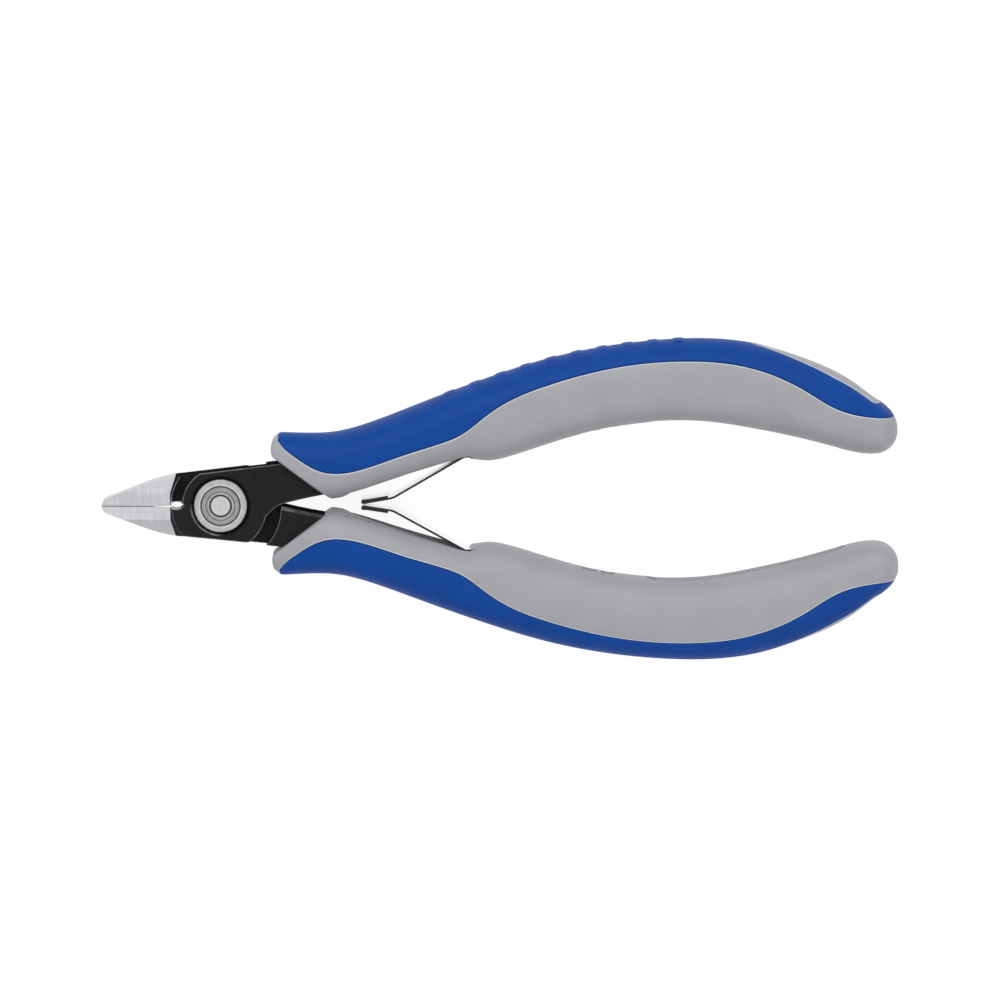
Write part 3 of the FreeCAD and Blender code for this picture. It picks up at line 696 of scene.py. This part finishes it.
def core_half_ring(x, sizes):
    """Half ring of the hard core at x: hidden bed, seam rim, side, lip and inner side with its recess."""
    section = Section(x, rounding(x - NOSE_X, sizes["lip"]))
    ring = HalfRing()
    covered = COVER_START_X <= x <= COVER_END_X
    bed = -sizes["cover"] - BED_CLEARANCE if covered else 0.0
    rim = sizes["rim"] if covered else 0.0
    start = seam_angle(section)
    start += section.turn(start, sizes["gap"])
    ring.run(0.0, start, 6, bed)
    # painted highlight on the core's rounded edge along the seam, where the cover lies
    pale = 1.0 if covered else 0.0
    rounded_wall(ring, section, start, rim, 0.0, bed, -1, highlight=pale)
    side_start = start + section.turn(start, max(rim, 0.02))
    fade = section.turn(start, sizes["rim_fade"])
    for share in (0.5, 1.0):
        ring.put(side_start + fade * share, 0.0, (1 - share) * pale)
    side_start += fade

    edge = min(section.angle_at_y(nose_low(x)), EDGE_ANGLE) if x < NOSE_END_X else EDGE_ANGLE
    edge_y = float(section.points(np.array([edge]))[0, 0])
    lip = min(sizes["lip"], section.height * 0.3)
    lip_start = section.angle_at_y(edge_y + lip * 1.3)
    ring.run(side_start, max(lip_start, side_start + 0.01), 28, 0.0)
    for step in range(1, 6):
        share = 1 - math.sin(math.pi / 2 * step / 5)
        ring.put(max(section.angle_at_y(edge_y + lip * 1.25 * share), side_start + 0.01), 0.0)

    width, depth = recess_at(x)
    wall = math.pi - section.angle_at_z(min(width, section.depth * RECESS_MAX_SHARE))
    ring.run(edge, max(wall - section.turn(wall, RECESS_MARGIN), edge + 0.01), 9, 0.0)
    rounded_wall(ring, section, wall, RECESS_ROUND if depth > 0 else 0.0, 0.0, -depth, 1)
    ring.run(wall, math.pi, 6, -depth)

    points = section.points(np.array(ring.angles), np.array(ring.lifts))
    if x < NOSE_END_X:
        fading_lip = sizes["lip"] * (1 - smooth_step(NOSE_LIP_FADE_X, NOSE_END_X, x))
        shape_nose(points, section, nose_low(x), fading_lip)
    return points, ring.highlights


def shape_nose(points, section, low, lip):
    """Cut the section off at the slanted front face and at the round of the upper corner."""
    facing = 1 / math.hypot(1.0, NOSE_SLOPE)
    high = nose_high(section.x)
    low_z = max(section.z_at_y(low), 0.05)
    high_z = max(section.z_at_y(min(high, section.middle + section.height)), 0.05)
    for point in points:
        if point[0] <= low:
            point[0] = low
            point[1] *= max(low_z - lip, 0.02) / low_z
        elif point[0] >= high:
            point[0] = high
            point[1] *= max(high_z - lip, 0.02) / high_z
        else:
            fall = rounding(min((point[0] - low) * facing, high - point[0]), lip)
            point[1] = max(point[1] - fall, 0.0)


def rib_lift(x, z, sizes):
    """Height of the ribs on the back of the upper grip."""
    if not RIB_SPAN[0] <= x <= RIB_SPAN[1]:
        return 0.0
    place = ((x - RIB_SPAN[0]) / sizes["rib_pitch"]) % 1.0
    along = smooth_step(0.0, RIB_SLOPE, place) * (1 - smooth_step(RIB_SHARE - RIB_SLOPE, RIB_SHARE, place))
    across = 1 - smooth_step(RIB_HALF_WIDTH - RIB_END, RIB_HALF_WIDTH, abs(z))
    return sizes["rib_height"] * along * across


def cover_half_ring(x, sizes):
    """Half ring of the soft cover at x: back, bed of the tongue, rounded edge and underside."""
    section = Section(x, rounding(x - NOSE_X, sizes["lip"]))
    seam = seam_angle(section)
    edge = max(seam - section.turn(seam, sizes["gap"]), 0.01)
    radius = min(sizes["edge"], 0.4 * edge / max(section.turn(seam, 1.0), 1e-6))
    ends = min(x - COVER_START_X, COVER_END_X - x)
    top = sizes["rise"] - rounding(ends, sizes["edge"])
    tongue = min(section.angle_at_z(tongue_half_width(x)), edge * 0.8)
    bed = -sizes["tongue_bed"] if tongue > 0 else top
    ring = HalfRing()
    ring.run(0.0, tongue, 8, bed)
    rounded_wall(ring, section, tongue, sizes["edge"] * 0.7, top, bed, -1)
    edge_start = edge - section.turn(seam, radius)
    ring.run(min(tongue + section.turn(tongue, sizes["edge"]), edge_start * 0.98), edge_start, 34, top)
    lifts = ring.lifts
    for i, point in enumerate(section.points(np.array(ring.angles))):
        lifts[i] += rib_lift(x, point[1], sizes)
    under = -sizes["cover"]
    rounded_wall(ring, section, edge, radius, top, under, 1)
    ring.run(edge, 0.0, 14, under)
    points = section.points(np.array(ring.angles), np.array(ring.lifts))
    points[:, 0] = np.minimum(points[:, 0], nose_high(x))
    return points, ring.highlights


def tongue_half_ring(x, sizes):
    """Half ring of the core's tongue, which lies in its bed in the cover."""
    section = Section(x)
    width = section.angle_at_z(tongue_half_width(x))
    edge = max(width - section.turn(width, TONGUE_GAP), width * 0.3)
    bottom = -sizes["tongue_bed"] - TONGUE_FOOT
    ring = HalfRing()
    rim = min(TONGUE_RIM, 0.3 / max(section.turn(edge, 1.0), 1e-6) * edge)
    ring.run(0.0, max(edge - section.turn(edge, rim + TONGUE_RIM_FADE), edge * 0.3), 8, 0.0)
    # painted highlight on the tongue's rounded rim too
    rounded_wall(ring, section, edge, rim, 0.0, bottom, 1, highlight=1.0)
    ring.run(edge, 0.0, 6, bottom)
    return section.points(np.array(ring.angles), np.array(ring.lifts)), ring.highlights


def full_ring(x, half, highlights):
    """Closed ring of 3-D points from half of it, whose first and last points lie at z = 0."""
    upper = [(x, y, z) for y, z in half]
    lower = [(x, y, -z) for y, z in half[-2:0:-1]]
    return upper + lower, list(highlights) + list(highlights[-2:0:-1])


def rows_between(start, end, pitch, *extra):
    """Stations from start to end at about this pitch, with further ones added."""
    count = max(int(round((end - start) / pitch)), 2)
    stations = list(np.linspace(start, end, count + 1)) + [x for x in extra if start < x < end]
    return sorted(set(round(float(x), 5) for x in stations))


def add_tube(mesh, rings, highlight_layer, turned):
    """Closed tube through the rings, with flat ends."""
    loops = []
    sign = -1 if turned else 1
    for ring, highlights in rings:
        loop = []
        for (x, y, z), highlight in zip(ring, highlights):
            vert = mesh.verts.new(PIVOT + Vector((x, sign * y, sign * z)) * MM)
            # each vertex keeps the strength of the painted seam highlight
            vert[highlight_layer] = highlight
            loop.append(vert)
        loops.append(loop)
    for first, second in zip(loops, loops[1:]):
        for i in range(len(first)):
            j = (i + 1) % len(first)
            mesh.faces.new((first[i], first[j], second[j], second[i]))
    bmesh.ops.remove_doubles(mesh, verts=mesh.verts, dist=2e-6)
    open_edges = [edge for edge in mesh.edges if edge.is_boundary]
    bmesh.ops.holes_fill(mesh, edges=open_edges, sides=0)


def finished_mesh(name, mesh, materials, sharp_deg):
    """Object from mesh data, with its normals outwards and smooth shading up to the sharp angle."""
    bmesh.ops.dissolve_degenerate(mesh, edges=mesh.edges, dist=1e-6)
    bmesh.ops.recalc_face_normals(mesh, faces=mesh.faces)
    data = bpy.data.meshes.new(name)
    mesh.to_mesh(data)
    mesh.free()
    for material in materials:
        data.materials.append(material)
    data.shade_smooth()
    data.set_sharp_from_angle(angle=math.radians(sharp_deg))
    piece = bpy.data.objects.new(name, data)
    bpy.context.scene.collection.objects.link(piece)
    return piece


def grip_sizes(grips, ribbed):
    """The grip settings in millimetres."""
    return {
        "cover": grips.cover_thickness / MM,
        "rise": grips.cover_rise / MM,
        "edge": grips.edge_radius / MM,
        "gap": grips.seam_gap / MM,
        "lip": grips.lip_radius / MM,
        "rim": 0.1,
        "rim_fade": 0.1,
        "tongue_bed": 0.3,
        "rib_height": grips.rib_height / MM if ribbed else 0.0,
        "rib_pitch": grips.rib_pitch / MM,
    }


def core_rings(sizes, pitch):
    """Rings of the hard core from its front end to the tail."""
    lip = sizes["lip"]
    front = [NOSE_X + lip * (1 - math.cos(math.pi / 2 * step / 6)) for step in range(7)]
    steps = []
    for recess in [CHANNEL, LONG_SLOT] + NOTCHES:
        steps += [recess[0] - 0.01, recess[0] + 0.01, recess[1] - 0.01, recess[1] + 0.01]
    steps += [COVER_START_X - 0.005, COVER_START_X, COVER_END_X, COVER_END_X + 0.005]
    middle = rows_between(NOSE_X + lip + 0.05, TAIL_ROUND_X, pitch, *steps)
    length = TAIL_X - TAIL_ROUND_X
    tail = [TAIL_ROUND_X + length * math.sin(math.pi / 2 * step / 24) for step in range(1, 24)]
    tail += [COVER_END_X, COVER_END_X + 0.005, TAIL_X - 0.003]
    stations = sorted(set(front + middle + tail))
    return [full_ring(x, *core_half_ring(x, sizes)) for x in stations]


def tongue_end_steps():
    """Stations that close in on the rounded end of the tongue."""
    return [TONGUE_END_X - TONGUE_ROUND * (1 - math.sin(math.pi / 2 * step / 9)) for step in range(10)]


def make_core(name, grips, turned, material):
    """Hard core of one grip, with the tongue on its back."""
    sizes = grip_sizes(grips, False)
    pitch = grips.row_pitch / MM
    mesh = bmesh.new()
    highlight_layer = mesh.verts.layers.float.new("seam_highlight")
    add_tube(mesh, core_rings(sizes, pitch), highlight_layer, turned)
    stations = rows_between(TONGUE_START_X + 0.06, TONGUE_END_X - 0.02, pitch, *tongue_end_steps())
    add_tube(mesh, [full_ring(x, *tongue_half_ring(x, sizes)) for x in stations], highlight_layer, turned)
    return finished_mesh(name, mesh, [material], 50)


def make_cover(name, grips, turned, material):
    """Soft cover of one grip; only the upper one has ribs."""
    sizes = grip_sizes(grips, not turned)
    pitch = grips.row_pitch / MM
    edge = sizes["edge"]
    ends = []
    for step in range(5):
        fall = edge * (1 - math.cos(math.pi / 2 * step / 5))
        ends += [COVER_START_X + fall + 0.004, COVER_END_X - fall - 0.004]
    tips = [TONGUE_START_X + 0.002, TONGUE_START_X + 0.03, TONGUE_START_X + 0.1]
    tips += tongue_end_steps()
    stations = rows_between(COVER_START_X + 0.004, COVER_END_X - 0.004, pitch, *ends, *tips)
    mesh = bmesh.new()
    highlight_layer = mesh.verts.layers.float.new("seam_highlight")
    add_tube(mesh, [full_ring(x, *cover_half_ring(x, sizes)) for x in stations], highlight_layer, turned)
    return finished_mesh(name, mesh, [material], 50)


# ---------------------------------------------------------------- springs

def bent_line(corners, steps):
    """Points of a line with an arc of the given radius at each corner."""
    points = [Vector(corners[0][:2])]
    for before, corner, after in zip(corners, corners[1:], corners[2:]):
        middle = Vector(corner[:2])
        inward = (Vector(before[:2]) - middle).normalized()
        outward = (Vector(after[:2]) - middle).normalized()
        half_turn = inward.angle(outward) / 2
        reach = corner[2] / math.tan(half_turn)
        centre = middle + (inward + outward).normalized() * (corner[2] / math.sin(half_turn))
        first = middle + inward * reach - centre
        swing = (middle + outward * reach - centre).angle_signed(first)
        for step in range(steps + 1):
            points.append(centre + Matrix.Rotation(swing * step / steps, 2) @ first)
    points.append(Vector(corners[-1][:2]))
    return points


def leaf_line(springs):
    """Middle line of the upper leaf, with the curl at its tip and the layer folded back over it."""
    steps = springs.curve_steps
    thickness = springs.strip_thickness / MM
    line = bent_line(SPRING_LINE, steps)
    tip = line[-1]
    ahead = (tip - line[-2]).normalized()
    up = Vector((ahead.y, -ahead.x))
    centre = tip + up * CURL_R
    for step in range(1, steps + 1):
        angle = math.radians(CURL_DEG) * step / steps
        line.append(centre + ahead * (CURL_R * math.sin(angle)) - up * (CURL_R * math.cos(angle)))
    kink = Vector(SPRING_LINE[2][:2])
    above = up * (thickness * HEM_GAP_SHARE)
    line.append(tip - ahead * HEM_SETBACK + above)
    line.append(kink + ahead * HEM_SETBACK + above)
    return line


def make_leaf(name, springs, turned, face_material, edge_material):
    """Strip swept along the leaf's line, with broken edges."""
    line = leaf_line(springs)
    half = springs.strip_thickness / MM / 2
    width = springs.strip_width / MM / 2
    broken = springs.edge_break / MM
    outline = [(half - broken, width), (half, width - broken), (half, 0), (half, broken - width),
               (half - broken, -width), (broken - half, -width), (-half, broken - width), (-half, 0),
               (-half, width - broken), (broken - half, width)]
    edge_faces = (0, 3, 4, 5, 8, 9)
    mesh = bmesh.new()
    sign = -1 if turned else 1
    loops = []
    for i, point in enumerate(line):
        before = line[max(i - 1, 0)]
        after = line[min(i + 1, len(line) - 1)]
        into = (point - before).normalized() if i > 0 else (after - point).normalized()
        out = (after - point).normalized() if i < len(line) - 1 else into
        direction = (into + out).normalized()
        normal = Vector((-direction.y, direction.x))
        stretch = 1 / max(normal.dot(Vector((-into.y, into.x))), 0.5)
        loop = []
        for across, z in outline:
            place = point + normal * (across * stretch)
            loop.append(mesh.verts.new(PIVOT + Vector((place.x, sign * place.y, sign * z)) * MM))
        loops.append(loop)
    for first, second in zip(loops, loops[1:]):
        for i in range(len(outline)):
            j = (i + 1) % len(outline)
            face = mesh.faces.new((first[i], first[j], second[j], second[i]))
            face.material_index = 1 if i in edge_faces else 0
    for loop in (loops[0], loops[-1]):
        mesh.faces.new(loop)
    return finished_mesh(name, mesh, [face_material, edge_material], 32)


# ---------------------------------------------------------------- operators

def dress(node, material):
    """Give a frame part its finish."""
    data = frame["nodes"][node].data
    data.materials.clear()
    data.materials.append(material)


class CUTTER_OT_arms(bpy.types.Operator):
    """Blacken the two arms and grind their jaws"""
    bl_idname = "cutter.finish_arms"
    bl_label = "Finish the arms"

    def execute(self, context):
        material = arm_steel(context.scene.cutter_steel)
        dress("front_arm", material)
        dress("rear_arm", material)
        return {"FINISHED"}


class CUTTER_OT_bolt_and_nut(bpy.types.Operator):
    """Give the bolt and the nut of the joint their turned finish"""
    bl_idname = "cutter.finish_bolt_and_nut"
    bl_label = "Finish the bolt and nut"

    def execute(self, context):
        steel = context.scene.cutter_steel
        dress("pivot_nut", turned_steel("turned_nut", steel, 1.03, 1.0, NUT_SHADE_RINGS))
        dress("pivot_bolt", turned_steel("turned_bolt", steel, 1.1, 0.3, BOLT_SHADE_RINGS))
        return {"FINISHED"}


class CUTTER_OT_grip_cores(bpy.types.Operator):
    """Mould the hard cores of both grips"""
    bl_idname = "cutter.make_grip_cores"
    bl_label = "Make the grip cores"

    def execute(self, context):
        grips = context.scene.cutter_grips
        material = hard_plastic(grips)
        for side, body, turned in SIDES:
            core = make_core(f"{side}_core_moulding", grips, turned, material)
            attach(core, body)
            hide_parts(f"{side}_grip_core")
        return {"FINISHED"}


class CUTTER_OT_grip_covers(bpy.types.Operator):
    """Mould the soft covers over both cores"""
    bl_idname = "cutter.make_grip_covers"
    bl_label = "Make the grip covers"

    def execute(self, context):
        grips = context.scene.cutter_grips
        material = soft_plastic(grips)
        for side, body, turned in SIDES:
            cover = make_cover(f"{side}_cover_moulding", grips, turned, material)
            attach(cover, body)
            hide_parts(f"{side}_grip_cover")
        return {"FINISHED"}


class CUTTER_OT_springs(bpy.types.Operator):
    """Bend the two leaves of the opening spring"""
    bl_idname = "cutter.make_springs"
    bl_label = "Make the springs"

    def execute(self, context):
        steel = context.scene.cutter_steel
        springs = context.scene.cutter_springs
        materials = (spring_face(steel), spring_edge(steel))
        root = Vector((*SPRING_ROOT, 0.0))
        kink = Vector((*SPRING_LINE[2][:2], 0.0))
        flex_end = root.lerp(kink, FLEX_END_SHARE)
        flex_start = root - (flex_end - root) * FLEX_START_SHARE
        for side, body, turned in SIDES:
            leaf = make_leaf(f"{side}_leaf", springs, turned, *materials)
            mirror = Vector((1, -1, -1)) if turned else Vector((1, 1, 1))
            ends = [PIVOT + end * mirror * MM for end in (flex_start, flex_end)]
            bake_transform(leaf)
            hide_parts(f"{side}_spring")
        return {"FINISHED"}


def add_light(name, power, size, place, target):
    """Large soft light aimed at the target."""
    data = bpy.data.lights.new(name, "AREA")
    data.shape = "RECTANGLE"
    data.size, data.size_y = size
    data.energy = power
    light = bpy.data.objects.new(name, data)
    bpy.context.scene.collection.objects.link(light)
    light.location = place
    light.rotation_euler = (target - place).to_track_quat("-Z", "Y").to_euler()


class CUTTER_OT_stage(bpy.types.Operator):
    """Lay the floor and set the lights and the camera"""
    bl_idname = "cutter.set_stage"
    bl_label = "Set the stage"

    def execute(self, context):
        stage = context.scene.cutter_stage
        centre = Vector(((frame_low.x + frame_high.x) / 2, (frame_low.y + frame_high.y) / 2, PIVOT.z))
        self.lay_floor(stage)
        self.set_world(context.scene, stage)
        add_light("key", stage.key_light, (1.2, 0.8), centre + Vector(KEY_PLACE), centre)
        add_light("fill", stage.fill_light, (0.9, 0.9), centre + Vector(FILL_PLACE), centre)
        self.set_camera(context.scene, stage, centre)
        context.scene.view_settings.view_transform = "Standard"
        return {"FINISHED"}

    def lay_floor(self, stage):
        """Plain pale floor under the grips."""
        finish = Finish("floor")
        tone = finish.noise(0.05, 2.0).over(0.2, 0.8)
        finish.set(Base_Color=finish.mix(tone, scaled(stage.floor_colour, 0.995), stage.floor_colour),
                   Roughness=0.9, Specular_IOR_Level=0.0, Emission_Color=(1.0, 1.0, 1.0),
                   Emission_Strength=stage.floor_glow)
        mesh = bmesh.new()
        bmesh.ops.create_grid(mesh, x_segments=8, y_segments=8, size=3.0)
        floor = finished_mesh("floor", mesh, [finish.material], 30)
        floor.location.z = frame_low.z - FLOOR_GAP

    def set_world(self, scene, stage):
        """Even white light from all round."""
        world = bpy.data.worlds.new("studio")
        world.use_nodes = True
        background = world.node_tree.nodes["Background"]
        background.inputs["Color"].default_value = (1.0, 1.0, 1.0, 1.0)
        background.inputs["Strength"].default_value = stage.world_light
        scene.world = world

    def set_camera(self, scene, stage, centre):
        """Long lens over the pliers, leaning a little towards the upper handle."""
        back = Vector((0.0, math.sin(stage.tilt), math.cos(stage.tilt)))
        up = Vector((0.0, math.cos(stage.tilt), -math.sin(stage.tilt)))
        side = Vector((1.0, 0.0, 0.0))
        right = side * math.cos(stage.roll) - up * math.sin(stage.roll)
        top = up * math.cos(stage.roll) + side * math.sin(stage.roll)
        data = bpy.data.cameras.new("camera")
        data.lens = data.sensor_width * stage.distance / stage.view_width
        data.clip_end = 10.0
        camera = bpy.data.objects.new("camera", data)
        scene.collection.objects.link(camera)
        target = centre + Vector(VIEW_OFFSET)
        pose = Matrix((right, top, back)).transposed().to_4x4()
        pose.translation = target + back * stage.distance
        camera.matrix_world = pose
        scene.camera = camera


class CUTTER_PT_panel(bpy.types.Panel):
    """Settings and steps of the cutters."""
    bl_label = "Diagonal cutters"
    bl_idname = "CUTTER_PT_panel"
    bl_space_type = "VIEW_3D"
    bl_region_type = "UI"
    bl_category = "Cutters"

    def draw(self, context):
        for operator in STEPS:
            self.layout.operator(operator.bl_idname)
        for group in SETTINGS:
            box = self.layout.box()
            settings = getattr(context.scene, group)
            for name in settings.bl_rna.properties.keys():
                if name not in ("rna_type", "name"):
                    box.prop(settings, name)


SETTINGS = {
    "cutter_grips": CutterGrips,
    "cutter_steel": CutterSteel,
    "cutter_springs": CutterSprings,
    "cutter_stage": CutterStage,
}
STEPS = (CUTTER_OT_stage, CUTTER_OT_arms, CUTTER_OT_bolt_and_nut, CUTTER_OT_grip_cores,
         CUTTER_OT_grip_covers, CUTTER_OT_springs)


def register():
    """Register the classes and hang the settings on the scene."""
    for cls in (*SETTINGS.values(), *STEPS, CUTTER_PT_panel):
        bpy.utils.register_class(cls)
    for name, cls in SETTINGS.items():
        setattr(bpy.types.Scene, name, PointerProperty(type=cls))


def unregister():
    """Undo register."""
    for name in SETTINGS:
        delattr(bpy.types.Scene, name)
    for cls in reversed((*SETTINGS.values(), *STEPS, CUTTER_PT_panel)):
        bpy.utils.unregister_class(cls)


def main():
    """Make everything."""
    register()
    bpy.ops.cutter.set_stage()
    bpy.ops.cutter.finish_arms()
    bpy.ops.cutter.finish_bolt_and_nut()
    bpy.ops.cutter.make_grip_cores()
    bpy.ops.cutter.make_grip_covers()
    bpy.ops.cutter.make_springs()


if __name__ == "__main__":
    main()
